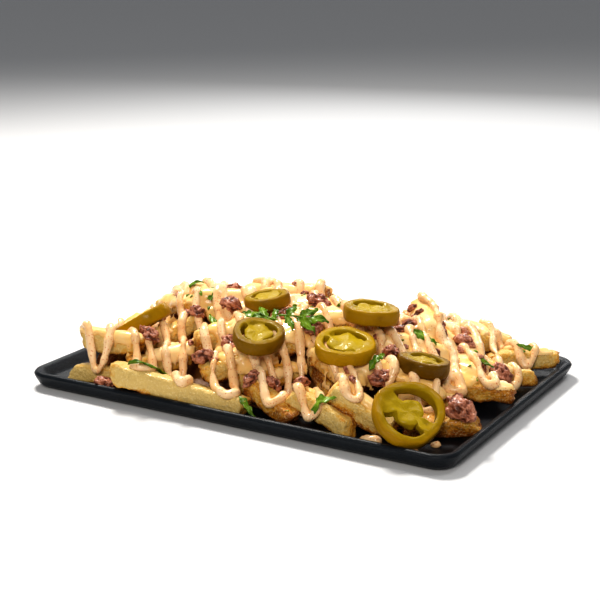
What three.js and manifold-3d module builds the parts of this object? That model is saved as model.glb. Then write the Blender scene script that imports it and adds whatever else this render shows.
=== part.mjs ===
// Loaded fries on a shallow stoneware tray: a heap of straight-cut fries under zigzags of thick
// sauce, with pieces of browned meat, pickled jalapeno slices and torn herb leaves on top.
// Millimetres, +Z up. The origin is the centre of the tray's flat underside, the tray's long side
// runs along X and its short side along Y.

import * as THREE from "three";
import { mergeVertices } from "three/addons/utils/BufferGeometryUtils.js";
import Module from "manifold-3d";

const wasm = await Module();
wasm.setup();

// Driving sizes
const TRAY = {
  length: 240,
  width: 165,
  height: 9,
  cornerRadius: 12,
  lipWidth: 4.6,
  baseThickness: 3.6,
  wallSlope: 6,
  innerSlope: 5,
  cornerSteps: 6,
};
const FRY = { thickness: 9.8, shortest: 30, longest: 70, settle: 1.4, steepest: 0.5 };
const HEAP = {
  middle: -3,
  halfLength: 114,
  halfWidth: 79,
  edgeHeight: 13,
  crownHeight: 32,
  lean: 0.1,
  crust: 25,
};

// Beds in the heap, where a slice leans.
const BEDS = [
  { x: -86, y: -34, radius: 20, depth: 14 },
  { x: 92, y: -66, radius: 26, depth: 16 },
];
const FILL = { seed: 20417, count: 56, candidates: 80, leastRoom: -3 };
const SAUCE = { thickness: 3.8, pitch: 26, angle: -48, step: 13, loop: 3.5, sink: 0.8, seed: 911 };
const GAP = 0.35;
const CELL = 2;

const rad = THREE.MathUtils.degToRad;

// A repeatable draw between two values.
function seededDraw(seed) {
  let state = seed;
  return (low, high) => {
    state = (state * 48271) % 2147483647;
    return low + ((high - low) * state) / 2147483647;
  };
}

function paint(colour, roughness) {
  return new THREE.MeshStandardMaterial({ color: colour, roughness, metalness: 0 });
}

const MATERIALS = {
  tray: paint("#2b3138", 0.5),
  fries: paint("#e3b765", 0.45),
  jalapeno: paint("#a3a01f", 0.3),
  meat: paint("#6b3f33", 0.6),
  herb: paint("#2f6a22", 0.5),
};

// Solids

function solidOf(geometry) {
  const bare = geometry.index ? geometry.toNonIndexed() : geometry.clone();
  bare.deleteAttribute("normal");
  bare.deleteAttribute("uv");
  const merged = mergeVertices(bare, 1e-4);
  return new wasm.Manifold(
    new wasm.Mesh({
      numProp: 3,
      vertProperties: merged.attributes.position.array,
      triVerts: new Uint32Array(merged.index.array),
    }),
  );
}

function geometryOf(solid) {
  const mesh = solid.getMesh();
  const positions = new Float32Array(mesh.numVert * 3);
  for (let i = 0; i < mesh.numVert; i++) {
    positions.set(mesh.vertProperties.subarray(i * mesh.numProp, i * mesh.numProp + 3), i * 3);
  }
  const geometry = new THREE.BufferGeometry();
  geometry.setAttribute("position", new THREE.BufferAttribute(positions, 3));
  geometry.setIndex(new THREE.BufferAttribute(new Uint32Array(mesh.triVerts), 1));
  geometry.computeVertexNormals();
  return geometry;
}

// Moves every vertex of a geometry by a function that edits it in place.
function reshape(geometry, move) {
  const positions = geometry.attributes.position;
  const point = new THREE.Vector3();
  for (let i = 0; i < positions.count; i++) {
    point.fromBufferAttribute(positions, i);
    move(point);
    positions.setXYZ(i, point.x, point.y, point.z);
  }
  return geometry;
}

function meshOf(name, geometry, material) {
  const mesh = new THREE.Mesh(geometry, material);
  mesh.name = name;
  return mesh;
}

// Tray

// The tray's section from the middle of the underside, round the lip, to the middle of the inside.
// Radii are those of the corner: a ring of it is pushed out to the tray's sides afterwards.
function traySection() {
  const { height, cornerRadius: r, lipWidth, baseThickness, wallSlope, innerSlope } = TRAY;
  return [
    [0, 0],
    [r - wallSlope, 0],
    [r - wallSlope * 0.45, height * 0.24],
    [r - 0.6, height * 0.66],
    [r, height * 0.84],
    [r - lipWidth * 0.3, height],
    [r - lipWidth * 0.75, height * 0.97],
    [r - lipWidth, height * 0.86],
    [r - lipWidth - innerSlope * 0.5, baseThickness + (height - baseThickness) * 0.2],
    [r - lipWidth - innerSlope * 0.4 - 1.6, baseThickness],
    [0, baseThickness],
  ].map(([radius, z]) => new THREE.Vector2(radius, z));
}

function trayGeometry() {
  const segments = TRAY.cornerSteps * 4;
  const lathe = new THREE.LatheGeometry(traySection(), segments, Math.PI / segments);
  lathe.rotateX(Math.PI / 2);
  const reachX = TRAY.length / 2 - TRAY.cornerRadius;
  const reachY = TRAY.width / 2 - TRAY.cornerRadius;
  return reshape(lathe, (p) => {
    if (Math.hypot(p.x, p.y) < 1e-3) return;
    p.x += Math.sign(p.x) * reachX;
    p.y += Math.sign(p.y) * reachY;
  });
}

// The height that something inside the tray rests on, with the inner slope of the rim.
function trayFloor(x, y) {
  const { length, width, height, lipWidth, baseThickness, innerSlope } = TRAY;
  const inset = Math.min(length / 2 - Math.abs(x), width / 2 - Math.abs(y));
  const slope = THREE.MathUtils.clamp((lipWidth + innerSlope - inset) / innerSlope, 0, 1);
  return baseThickness + (height - baseThickness) * slope;
}

// Height map of what has been laid so far

const COLUMNS = Math.round(TRAY.length / CELL);
const ROWS = Math.round(TRAY.width / CELL);
const terrain = new Float64Array(COLUMNS * ROWS);

const columnOf = (x) => Math.floor((x + TRAY.length / 2) / CELL);
const rowOf = (y) => Math.floor((y + TRAY.width / 2) / CELL);
const cellX = (column) => (column + 0.5) * CELL - TRAY.length / 2;
const cellY = (row) => (row + 0.5) * CELL - TRAY.width / 2;

// It starts as the tray with a low mound in it, which the fries cover.
for (let row = 0; row < ROWS; row++) {
  for (let column = 0; column < COLUMNS; column++) {
    const [x, y] = [cellX(column), cellY(row)];
    terrain[row * COLUMNS + column] = Math.max(trayFloor(x, y), heapHeight(x, y) - HEAP.crust);
  }
}

function heightAt(x, y) {
  const column = THREE.MathUtils.clamp(columnOf(x), 0, COLUMNS - 1);
  const row = THREE.MathUtils.clamp(rowOf(y), 0, ROWS - 1);
  return terrain[row * COLUMNS + column];
}

// Where a bar comes to rest: its underside is the edge, over its middle, of the upper hull of the
// ground along it.
function restOf(bar) {
  const ahead = new THREE.Vector2(Math.cos(rad(bar.yaw)), Math.sin(rad(bar.yaw)));
  const reach = bar.length / 2 - 2;
  const steps = Math.max(4, Math.round(reach / 2.5));
  const hull = [];
  for (let i = -steps; i <= steps; i++) {
    const s = (reach * i) / steps;
    let ground = 0;
    for (const side of [-0.32, 0, 0.32]) {
      const x = bar.x + ahead.x * s - ahead.y * side * bar.thickness;
      const y = bar.y + ahead.y * s + ahead.x * side * bar.thickness;
      ground = Math.max(ground, heightAt(x, y));
    }
    while (hull.length > 1) {
      const [a, b] = hull.slice(-2);
      if ((b[1] - a[1]) * (s - a[0]) > (ground - a[1]) * (b[0] - a[0])) break;
      hull.pop();
    }
    hull.push([s, ground]);
  }
  let edge = 0;
  while (edge < hull.length - 2 && hull[edge + 1][0] <= 0) edge++;
  const [a, b] = [hull[edge], hull[edge + 1]];
  const { steepest } = FRY;
  const slope = THREE.MathUtils.clamp((b[1] - a[1]) / (b[0] - a[0]), -steepest, steepest);
  const middle = Math.max(a[1] - slope * a[0], b[1] - slope * b[0]);
  return { slope, middle };
}

// Lays a bar down and raises the height map to its top.
function layBar(bar) {
  const { slope, middle } = restOf(bar);
  const placed = { ...bar, slope, z: middle - FRY.settle + bar.thickness / 2 };
  const along = new THREE.Vector2(Math.cos(rad(bar.yaw)), Math.sin(rad(bar.yaw)));
  for (let row = 0; row < ROWS; row++) {
    for (let column = 0; column < COLUMNS; column++) {
      const dx = cellX(column) - bar.x;
      const dy = cellY(row) - bar.y;
      const s = dx * along.x + dy * along.y;
      const t = -dx * along.y + dy * along.x;
      if (Math.abs(s) > bar.length / 2 || Math.abs(t) > bar.thickness / 2) continue;
      const top = placed.z + slope * s + bar.thickness / 2 - 0.4;
      const index = row * COLUMNS + column;
      terrain[index] = Math.max(terrain[index], top);
    }
  }
  return placed;
}

// Fries

// Fries that give the heap its outline: where each one's middle lies, which way it points and its
// length. They go round the tray: along its front edge, then its right end, back and left end.
const EDGE_FRIES = [
  { x: -82, y: -66, yaw: 14, length: 34 },
  { x: -29, y: -73, yaw: 5, length: 74 },
  { x: 19, y: -66, yaw: -18, length: 34 },
  { x: 47, y: -66, yaw: -9, length: 36 },
  { x: 66, y: -60, yaw: 4, length: 34 },
  { x: 99, y: -46, yaw: 26, length: 34 },
  { x: 96, y: -6, yaw: 24, length: 42 },
  { x: 96, y: 26, yaw: 36, length: 42 },
  { x: 97, y: 60, yaw: 26, length: 36 },
  { x: 36, y: 67, yaw: -8, length: 68 },
  { x: -30, y: 66, yaw: 6, length: 70 },
  { x: -86, y: 52, yaw: 34, length: 56 },
  { x: -92, y: 6, yaw: 12, length: 48 },
  { x: -98, y: -34, yaw: -66, length: 50 },
  { x: -93, y: -18, yaw: 8, length: 32 },
];

// Fries that stand out on top of the others, laid last.
const CROWN_FRIES = [
  { x: -80, y: -58, yaw: 4, length: 34 },
  { x: 58, y: 24, yaw: -56, length: 34 },
];

// The height that the heap is filled up to: flat on top, a little higher towards its left end, and
// lower in the beds.
function heapHeight(x, y) {
  const share = (x - HEAP.middle) / HEAP.halfLength;
  const alongX = Math.max(0, 1 - Math.abs(share) ** 4);
  const alongY = Math.max(0, 1 - Math.abs(y / HEAP.halfWidth) ** 2.3);
  const swell = 1 - HEAP.lean * share + 0.05 * Math.sin(x / 17) * Math.cos(y / 14 + 1);
  const full = HEAP.edgeHeight + HEAP.crownHeight * swell * (alongX * alongY) ** 0.8;
  return BEDS.reduce((height, bed) => {
    const far = Math.hypot(x - bed.x, y - bed.y) / bed.radius;
    return height - bed.depth * Math.exp(-far * far);
  }, full);
}

function fitsInTray(bar) {
  const { middle, halfLength, halfWidth } = HEAP;
  const reachX = Math.abs(Math.cos(rad(bar.yaw))) * (bar.length / 2) + 3;
  const reachY = Math.abs(Math.sin(rad(bar.yaw))) * (bar.length / 2) + 3;
  return Math.abs(bar.x - middle) + reachX < halfLength && Math.abs(bar.y) + reachY < halfWidth;
}

// How far a bar would stay below the heap's height, at its ends and in its middle.
function roomOver(bar) {
  const { slope, middle } = restOf(bar);
  const [dx, dy] = [Math.cos(rad(bar.yaw)), Math.sin(rad(bar.yaw))];
  const rooms = [-0.45, 0, 0.45].map((share) => {
    const s = share * bar.length;
    const top = middle + slope * s + bar.thickness;
    return heapHeight(bar.x + dx * s, bar.y + dy * s) - top;
  });
  return Math.min(...rooms);
}

// Of several drawn places, the next fry takes the one that lies furthest below the heap's height.
function layFries() {
  const draw = seededDraw(FILL.seed);
  const shapeOf = () => ({
    thickness: FRY.thickness * draw(0.88, 1.1),
    roll: draw(-16, 16),
    bow: draw(-1.6, 2.2),
    slant: draw(-0.5, 0.5),
    taper: draw(0, 0.25),
  });
  const fries = EDGE_FRIES.map((bar) => layBar({ ...bar, ...shapeOf() }));
  for (let n = 0; n < FILL.count; n++) {
    let best = null;
    for (let c = 0; c < FILL.candidates; c++) {
      const bar = {
        x: HEAP.middle + draw(-HEAP.halfLength, HEAP.halfLength),
        y: draw(-HEAP.halfWidth, HEAP.halfWidth),
        yaw: draw(-90, 90),
        length: draw(FRY.shortest, FRY.longest),
        thickness: FRY.thickness,
      };
      if (!fitsInTray(bar)) continue;
      const room = roomOver(bar);
      if (!best || room > best.room) best = { room, bar };
    }
    if (!best || best.room < FILL.leastRoom) break;
    fries.push(layBar({ ...best.bar, ...shapeOf() }));
  }
  return [...fries, ...CROWN_FRIES.map((bar) => layBar({ ...bar, ...shapeOf() }))];
}

// Whether enough of a fry lies at or near the top of the heap to be seen.
function shows(fry) {
  const [dx, dy] = [Math.cos(rad(fry.yaw)), Math.sin(rad(fry.yaw))];
  const seen = [-0.45, -0.3, -0.15, 0, 0.15, 0.3, 0.45].filter((share) => {
    const s = share * fry.length;
    const top = fry.z + fry.slope * s + fry.thickness / 2;
    return heightAt(fry.x + dx * s, fry.y + dy * s) < top + 3;
  });
  return seen.length > 1;
}

// One fry: a square-cut bar with a slight bow, a slanted end and a taper.
function fryGeometry(fry) {
  const half = fry.thickness / 2;
  const geometry = new THREE.BoxGeometry(fry.length, fry.thickness, fry.thickness, 2, 1, 1);
  reshape(geometry, (p) => {
    const share = (2 * p.x) / fry.length;
    const narrow = 1 - fry.taper * Math.max(0, share);
    p.x += fry.slant * p.z * share;
    p.y *= narrow;
    p.z = p.z * narrow + fry.bow * (1 - share * share);
  });
  geometry.rotateX(rad(fry.roll));
  geometry.rotateY(-Math.atan(fry.slope));
  geometry.rotateZ(rad(fry.yaw));
  geometry.translate(fry.x, fry.y, fry.z);
  return geometry;
}

// The mound that the fries are fused to: it follows the height map a fry's half thickness below.
function coreGeometry() {
  const [stepsX, stepsY] = [11, 7];
  const inset = 14;
  const low = TRAY.baseThickness + GAP;
  const box = new THREE.BoxGeometry(
    TRAY.length - inset * 2 - 14,
    TRAY.width - inset * 2,
    1,
    stepsX,
    stepsY,
    1,
  );
  return reshape(box, (p) => {
    if (p.z < 0) {
      p.z = low;
      return;
    }
    let lowest = Infinity;
    for (const dx of [-5, 0, 5]) {
      for (const dy of [-5, 0, 5]) lowest = Math.min(lowest, heightAt(p.x + dx, p.y + dy));
    }
    p.z = Math.max(low + 2, lowest - FRY.thickness * 0.45);
  });
}

// Sauce

// Whether sauce can lie at a point: on the heap, and not in a bed.
function takesSauce(x, y) {
  const { middle, halfLength, halfWidth } = HEAP;
  const inTray = Math.abs(x - middle) < halfLength - 4 && Math.abs(y) < halfWidth - 4;
  const inBed = BEDS.some((bed) => Math.hypot(x - bed.x, y - bed.y) < bed.radius * 0.8);
  return inTray && !inBed && heightAt(x, y) > TRAY.baseThickness + 5;
}

// The sauce is poured to and fro across the heap. Each pass comes forward and goes back again, with
// its two legs together at the front and apart at the back.
function sauceRoutes() {
  const draw = seededDraw(SAUCE.seed);
  const along = new THREE.Vector2(Math.cos(rad(SAUCE.angle)), Math.sin(rad(SAUCE.angle)));
  const across = new THREE.Vector2(-along.y, along.x);
  const place = (s, t) => along.clone().multiplyScalar(s).addScaledVector(across, t);
  const reach = Math.hypot(HEAP.halfLength, HEAP.halfWidth);
  const routes = [];
  for (let offset = -reach; offset < reach; offset += SAUCE.pitch * draw(0.85, 1.15)) {
    const line = [];
    for (let s = reach; s > -reach; s -= SAUCE.step) {
      const { x, y } = place(s, offset);
      if (takesSauce(x, y)) line.push(s);
      else if (line.length > 3) break;
      else line.length = 0;
    }
    if (line.length < 4) continue;
    const leg = (side) =>
      line.map((s, i) => {
        const share = i / (line.length - 1);
        const spread = THREE.MathUtils.lerp(SAUCE.loop, SAUCE.pitch * 0.45, share);
        return place(s, offset + side * spread + draw(-1.2, 1.2));
      });
    routes.push([...leg(-1).reverse(), place(line[0] + SAUCE.loop, offset), ...leg(1)]);
  }
  return routes;
}

function sauceGeometries() {
  const half = SAUCE.thickness / 2;
  const corners = [-1, 1].flatMap((s) => [new THREE.Vector2(s * half, 0), new THREE.Vector2(0, s * half)]);
  const section = new THREE.Shape(corners);
  return sauceRoutes().map((route) => {
    const points = route.map(({ x, y }, i) => {
      const near = [route[Math.max(0, i - 1)], route[Math.min(route.length - 1, i + 1)]];
      const around = Math.max(...near.map((p) => heightAt((p.x + x) / 2, (p.y + y) / 2)));
      return new THREE.Vector3(x, y, (heightAt(x, y) * 2 + around) / 3 - SAUCE.sink);
    });
    const curve = new THREE.CatmullRomCurve3(points, false, "centripetal");
    return new THREE.ExtrudeGeometry(section, {
      steps: points.length,
      extrudePath: curve,
      bevelEnabled: false,
    });
  });
}

// Toppings

// Jalapeno slices: the middle of each, the way its face looks, its diameter and its thickness.
const JALAPENOS = [
  { x: -77, y: -37, face: [-0.55, -0.05, 0.83], diameter: 30, thickness: 7.2, turn: 20 },
  { x: -18, y: -9, face: [-0.15, -0.05, 0.98], diameter: 24, thickness: 6.6, turn: 75 },
  { x: 1, y: -48, face: [0.17, -0.14, 0.97], diameter: 26, thickness: 6.8, turn: 140 },
  { x: 45, y: -40, face: [0.1, -0.2, 0.97], diameter: 28, thickness: 7, turn: 10 },
  { x: 44, y: -12, face: [0.05, 0.05, 0.99], diameter: 27, thickness: 7, turn: 50 },
  { x: 80, y: -26, face: [0.12, 0.15, 0.98], diameter: 25, thickness: 7.2, turn: 220 },
  { x: 91, y: -65, face: [0.5, -0.4, 0.77], diameter: 33, thickness: 6, turn: 200 },
];

// A point of a slice's outline or of one of its two openings, on an uneven circle.
function unevenCircle(angle, radius, turn) {
  const wave = 1 + 0.05 * Math.cos(2 * angle + turn) + 0.035 * Math.cos(3 * angle - turn);
  return new THREE.Vector2(Math.cos(angle) * radius * wave, Math.sin(angle) * radius * wave);
}

// A slice is a ring of flesh with a pith in the middle, held by two ribs, and openings between.
function jalapenoGeometry(slice) {
  const radius = slice.diameter / 2;
  const wall = 3.6;
  const pith = radius * 0.34;
  const turn = rad(slice.turn);
  const outline = [];
  for (let i = 0; i < 20; i++) outline.push(unevenCircle((i / 20) * Math.PI * 2, radius, turn));
  const shape = new THREE.Shape(outline);
  const openings = [
    [0.35, 2.45],
    [2.95, 5.65],
  ];
  for (const [from, to] of openings) {
    const outer = [];
    const inner = [];
    for (let i = 0; i <= 4; i++) {
      const angle = turn + from + ((to - from) * i) / 4;
      outer.push(unevenCircle(angle, radius - wall, turn));
      inner.unshift(unevenCircle(angle, pith, turn));
    }
    shape.holes.push(new THREE.Path([...outer, ...inner]));
  }
  const geometry = new THREE.ExtrudeGeometry(shape, {
    depth: slice.thickness,
    bevelEnabled: false,
    steps: 1,
  });
  geometry.translate(0, 0, -slice.thickness / 2);
  return aimed(geometry, slice.face);
}

// Turns a geometry so that its +Z looks along a direction.
function aimed(geometry, face) {
  const up = new THREE.Vector3(0, 0, 1);
  const turn = new THREE.Quaternion().setFromUnitVectors(up, new THREE.Vector3(...face).normalize());
  return geometry.applyQuaternion(turn);
}

// The way that the top of the heap faces about a point, from its heights to each side of it.
function groundFacing(x, y, reach) {
  const side = (dx, dy) => Math.max(heightAt(x + dx, y + dy), heightAt(x + dx / 2, y + dy / 2));
  const slopeX = (side(reach, 0) - side(-reach, 0)) / (2 * reach);
  const slopeY = (side(0, reach) - side(0, -reach)) / (2 * reach);
  const limit = (slope) => THREE.MathUtils.clamp(slope, -0.6, 0.6);
  return [-limit(slopeX), -limit(slopeY), 1];
}

// Pieces of meat: where each lies, its length and the way it points.
const MEAT = [
  { x: -73, y: -76, length: 13, yaw: 20 },
  { x: -100, y: -29, length: 12, yaw: 70 },
  { x: -51, y: -24, length: 11, yaw: -20 },
  { x: -36, y: -15, length: 13, yaw: 10 },
  { x: -23, y: -61, length: 14, yaw: -25 },
  { x: -19, y: -43, length: 13, yaw: -50 },
  { x: 8, y: -67, length: 11, yaw: 65 },
  { x: 18, y: -61, length: 11, yaw: -10 },
  { x: 20, y: -28, length: 15, yaw: -35 },
  { x: 2, y: 10, length: 14, yaw: 15 },
  { x: 32, y: -59, length: 13, yaw: -60 },
  { x: 41, y: 13, length: 14, yaw: 5 },
  { x: 56, y: 6, length: 12, yaw: 50 },
  { x: 67, y: -46, length: 13, yaw: 30 },
  { x: 64, y: -28, length: 12, yaw: -70 },
  { x: 82, y: 18, length: 13, yaw: -15 },
  { x: 108, y: -45, length: 18, yaw: -12 },
  { x: 102, y: 19, length: 17, yaw: -40 },
  { x: -3, y: -20, length: 14, yaw: 35 },
  { x: 22, y: 46, length: 13, yaw: -25 },
  { x: -61, y: -53, length: 14, yaw: -5 },
  { x: -70, y: 40, length: 13, yaw: 50 },
];

// A torn piece of meat: an uneven lump, longer than wide, with a flattish underside.
function meatGeometry(piece, draw) {
  const geometry = new THREE.IcosahedronGeometry(0.5, 1);
  const shifts = new Map();
  reshape(geometry, (p) => {
    const key = [p.x, p.y, p.z].map((v) => v.toFixed(3)).join();
    if (!shifts.has(key)) shifts.set(key, draw(0.78, 1.12));
    p.multiplyScalar(shifts.get(key));
    p.set(p.x * piece.length, p.y * piece.length * 0.7, p.z * piece.length * 0.55);
  });
  geometry.rotateZ(rad(piece.yaw));
  return aimed(geometry, groundFacing(piece.x, piece.y, piece.length / 2));
}

// Herb leaves: where each lies, its length and width, the way it points and how much it curls.
const LEAVES = [
  { x: -6, y: -30, length: 25, width: 10, yaw: 170, curl: 5 },
  { x: 17, y: -36, length: 25, width: 10, yaw: 25, curl: 4 },
  { x: 19, y: 3, length: 14, width: 8, yaw: -60, curl: 2 },
  { x: -47, y: -72, length: 25, width: 5, yaw: 62, curl: 3 },
  { x: -82, y: 15, length: 15, width: 4.5, yaw: 20, curl: 3 },
  { x: -40, y: -26, length: 13, width: 3.4, yaw: -40, curl: 2 },
  { x: 50, y: -72, length: 14, width: 7, yaw: 30, curl: 2 },
  { x: 11, y: -74, length: 14, width: 3.2, yaw: -20, curl: 3 },
  { x: 63, y: -42, length: 11, width: 4.5, yaw: 75, curl: 2 },
  { x: 68, y: -1, length: 15, width: 5.5, yaw: -10, curl: 2 },
  { x: -46, y: -12, length: 11, width: 5, yaw: 40, curl: 2 },
  { x: 94, y: 5, length: 17, width: 6, yaw: 20, curl: 2 },
  { x: 100, y: 57, length: 10, width: 3.6, yaw: 25, curl: 1 },
];

// A leaf is a thin wavy sheet of even thickness, pointed at both ends, with its sides raised.
function leafGeometry(leaf) {
  const thickness = 0.7;
  const box = new THREE.BoxGeometry(leaf.length, leaf.width, thickness, 6, 2, 1);
  reshape(box, (p) => {
    const share = (2 * p.x) / leaf.length;
    const side = (2 * p.y) / leaf.width;
    p.y *= 0.22 + 0.78 * Math.sqrt(Math.max(0, 1 - share * share));
    p.z += leaf.curl * (0.5 - share * share) * 0.6;
    p.z += Math.abs(side) * leaf.width * 0.14 * Math.cos(share * 5);
  });
  box.rotateZ(rad(leaf.yaw));
  return aimed(box, groundFacing(leaf.x, leaf.y, leaf.length / 2.5));
}

// Lowers a topping on to what is already there, from above, until it would touch, and leaves a gap.
function settle(solid, x, y, start, laid) {
  const far = 40;
  let clear = far;
  for (let step = 8; step > 0.1; step /= 2) {
    while (clear - step > -far) {
      const lowered = solid.translate([x, y, start + clear - step - GAP]);
      if (laid.some((other) => other.intersect(lowered).volume() > 0)) break;
      clear -= step;
    }
  }
  return solid.translate([x, y, start + clear]);
}

function toppings(heap) {
  const laid = [heap, solidOf(trayGeometry())];
  const meshes = [];
  const add = (name, solid, place, material) => {
    const settled = settle(solid, place.x, place.y, heightAt(place.x, place.y), laid);
    laid.push(settled);
    meshes.push(meshOf(name, geometryOf(settled), material));
  };
  const draw = seededDraw(57);
  JALAPENOS.forEach((slice, i) =>
    add(`jalapeno_${i + 1}`, solidOf(jalapenoGeometry(slice)), slice, MATERIALS.jalapeno),
  );
  MEAT.forEach((piece, i) =>
    add(`meat_${i + 1}`, solidOf(meatGeometry(piece, draw)), piece, MATERIALS.meat),
  );
  LEAVES.forEach((leaf, i) =>
    add(`herb_${i + 1}`, solidOf(leafGeometry(leaf)), leaf, MATERIALS.herb),
  );
  return meshes;
}

// Assembly

function heapSolid() {
  const fries = layFries();
  const core = coreGeometry();
  const parts = [core, ...fries.filter(shows).map(fryGeometry), ...sauceGeometries()].map(solidOf);
  const joined = wasm.Manifold.union(parts);
  const tray = solidOf(trayGeometry());
  const shifts = [[0, 0], [GAP, 0], [-GAP, 0], [0, GAP], [0, -GAP]];
  const swollen = wasm.Manifold.union(shifts.map(([dx, dy]) => tray.translate([dx, dy, GAP])));
  const trimmed = joined.subtract(swollen);
  const bodies = trimmed.decompose();
  return bodies.reduce((a, b) => (a.volume() > b.volume() ? a : b));
}

const heap = heapSolid();
const loadedFries = new THREE.Group();
loadedFries.add(meshOf("tray", trayGeometry(), MATERIALS.tray));
loadedFries.add(meshOf("fries", geometryOf(heap), MATERIALS.fries));
loadedFries.add(...toppings(heap));

export default loadedFries;
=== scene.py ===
import math
import bmesh
import bpy
from mathutils import Matrix, Vector, noise
from mathutils.bvhtree import BVHTree


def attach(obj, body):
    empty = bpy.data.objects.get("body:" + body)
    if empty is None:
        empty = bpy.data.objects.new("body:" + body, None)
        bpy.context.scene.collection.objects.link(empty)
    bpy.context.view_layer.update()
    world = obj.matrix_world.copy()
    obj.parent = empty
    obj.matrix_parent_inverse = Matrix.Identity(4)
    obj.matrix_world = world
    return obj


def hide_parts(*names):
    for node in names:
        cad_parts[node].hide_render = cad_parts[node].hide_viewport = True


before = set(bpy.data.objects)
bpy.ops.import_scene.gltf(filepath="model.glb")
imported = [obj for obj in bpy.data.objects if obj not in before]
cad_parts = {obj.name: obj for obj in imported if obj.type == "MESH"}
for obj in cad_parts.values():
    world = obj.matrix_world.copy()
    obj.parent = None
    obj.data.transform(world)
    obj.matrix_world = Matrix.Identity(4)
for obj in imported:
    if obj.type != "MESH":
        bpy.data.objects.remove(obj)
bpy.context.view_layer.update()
mm = 0.001
print("frame loaded")


# Drawing values that repeat in every run

def seededDraw(seed):
    state = seed

    def draw(low, high):
        nonlocal state
        state = state * 48271 % 2147483647
        return low + ((high - low) * state) / 2147483647

    return draw


def clamp(value, low=0.0, high=1.0):
    return max(low, min(high, value))


def smoothStep(value, low, high):
    share = clamp((value - low) / (high - low))
    return share * share * (3 - 2 * share)


# Layout of the heap in millimetres, by the rule that the heap's solid follows

trayPlan = {
    "length": 240,
    "width": 165,
    "height": 9,
    "cornerRadius": 12,
    "lipWidth": 4.6,
    "baseThickness": 3.6,
    "wallSlope": 6,
    "innerSlope": 5,
}
fryPlan = {"thickness": 9.8, "shortest": 30, "longest": 70, "settle": 1.4, "steepest": 0.5}
heapPlan = {
    "middle": -3,
    "halfLength": 114,
    "halfWidth": 79,
    "edgeHeight": 13,
    "crownHeight": 32,
    "lean": 0.1,
    "crust": 25,
    "beds": [(-86, -34, 20, 14), (92, -66, 26, 16)],  # x, y, radius, depth
    "seed": 20417,
    "count": 56,
    "candidates": 80,
    "leastRoom": -3,
    "cell": 2,
}
edgeFries = [  # x, y, yaw, length
    (-82, -66, 14, 34),
    (-29, -73, 5, 74),
    (19, -66, -18, 34),
    (47, -66, -9, 36),
    (66, -60, 4, 34),
    (99, -46, 26, 34),
    (96, -6, 24, 42),
    (96, 26, 36, 42),
    (97, 60, 26, 36),
    (36, 67, -8, 68),
    (-30, 66, 6, 70),
    (-86, 52, 34, 56),
    (-92, 6, 12, 48),
    (-98, -34, -66, 50),
    (-93, -18, 8, 32),
]
crownFries = [(-80, -58, 4, 34), (58, 24, -56, 34)]


def trayFloor(x, y):
    inset = min(trayPlan["length"] / 2 - abs(x), trayPlan["width"] / 2 - abs(y))
    slope = (trayPlan["lipWidth"] + trayPlan["innerSlope"] - inset) / trayPlan["innerSlope"]
    rise = trayPlan["height"] - trayPlan["baseThickness"]
    return trayPlan["baseThickness"] + rise * clamp(slope)


def heapHeight(x, y):
    share = (x - heapPlan["middle"]) / heapPlan["halfLength"]
    alongX = max(0, 1 - abs(share) ** 4)
    alongY = max(0, 1 - abs(y / heapPlan["halfWidth"]) ** 2.3)
    swell = 1 - heapPlan["lean"] * share + 0.05 * math.sin(x / 17) * math.cos(y / 14 + 1)
    full = heapPlan["edgeHeight"] + heapPlan["crownHeight"] * swell * (alongX * alongY) ** 0.8
    for bedX, bedY, radius, depth in heapPlan["beds"]:
        far = math.hypot(x - bedX, y - bedY) / radius
        full -= depth * math.exp(-far * far)
    return full


cell = heapPlan["cell"]
columns = math.floor(trayPlan["length"] / cell + 0.5)
rows = math.floor(trayPlan["width"] / cell + 0.5)


def cellX(column):
    return (column + 0.5) * cell - trayPlan["length"] / 2


def cellY(row):
    return (row + 0.5) * cell - trayPlan["width"] / 2


ground = [
    [max(trayFloor(cellX(c), cellY(r)), heapHeight(cellX(c), cellY(r)) - heapPlan["crust"])
     for c in range(columns)]
    for r in range(rows)
]


def heightAt(x, y):
    column = min(max(math.floor((x + trayPlan["length"] / 2) / cell), 0), columns - 1)
    row = min(max(math.floor((y + trayPlan["width"] / 2) / cell), 0), rows - 1)
    return ground[row][column]


def restOf(bar):
    aheadX, aheadY = math.cos(math.radians(bar["yaw"])), math.sin(math.radians(bar["yaw"]))
    reach = bar["length"] / 2 - 2
    steps = max(4, math.floor(reach / 2.5 + 0.5))
    hull = []
    for i in range(-steps, steps + 1):
        s = (reach * i) / steps
        under = 0
        for side in (-0.32, 0, 0.32):
            x = bar["x"] + aheadX * s - aheadY * side * bar["thickness"]
            y = bar["y"] + aheadY * s + aheadX * side * bar["thickness"]
            under = max(under, heightAt(x, y))
        while len(hull) > 1:
            a, b = hull[-2:]
            if (b[1] - a[1]) * (s - a[0]) > (under - a[1]) * (b[0] - a[0]):
                break
            hull.pop()
        hull.append((s, under))
    edge = 0
    while edge < len(hull) - 2 and hull[edge + 1][0] <= 0:
        edge += 1
    a, b = hull[edge], hull[edge + 1]
    slope = clamp((b[1] - a[1]) / (b[0] - a[0]), -fryPlan["steepest"], fryPlan["steepest"])
    return slope, max(a[1] - slope * a[0], b[1] - slope * b[0])


def layBar(bar):
    slope, middle = restOf(bar)
    z = middle - fryPlan["settle"] + bar["thickness"] / 2
    alongX, alongY = math.cos(math.radians(bar["yaw"])), math.sin(math.radians(bar["yaw"]))
    for row in range(rows):
        for column in range(columns):
            dx = cellX(column) - bar["x"]
            dy = cellY(row) - bar["y"]
            s = dx * alongX + dy * alongY
            if abs(s) > bar["length"] / 2 or abs(-dx * alongY + dy * alongX) > bar["thickness"] / 2:
                continue
            top = z + slope * s + bar["thickness"] / 2 - 0.4
            ground[row][column] = max(ground[row][column], top)
    return {**bar, "slope": slope, "z": z}


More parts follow.
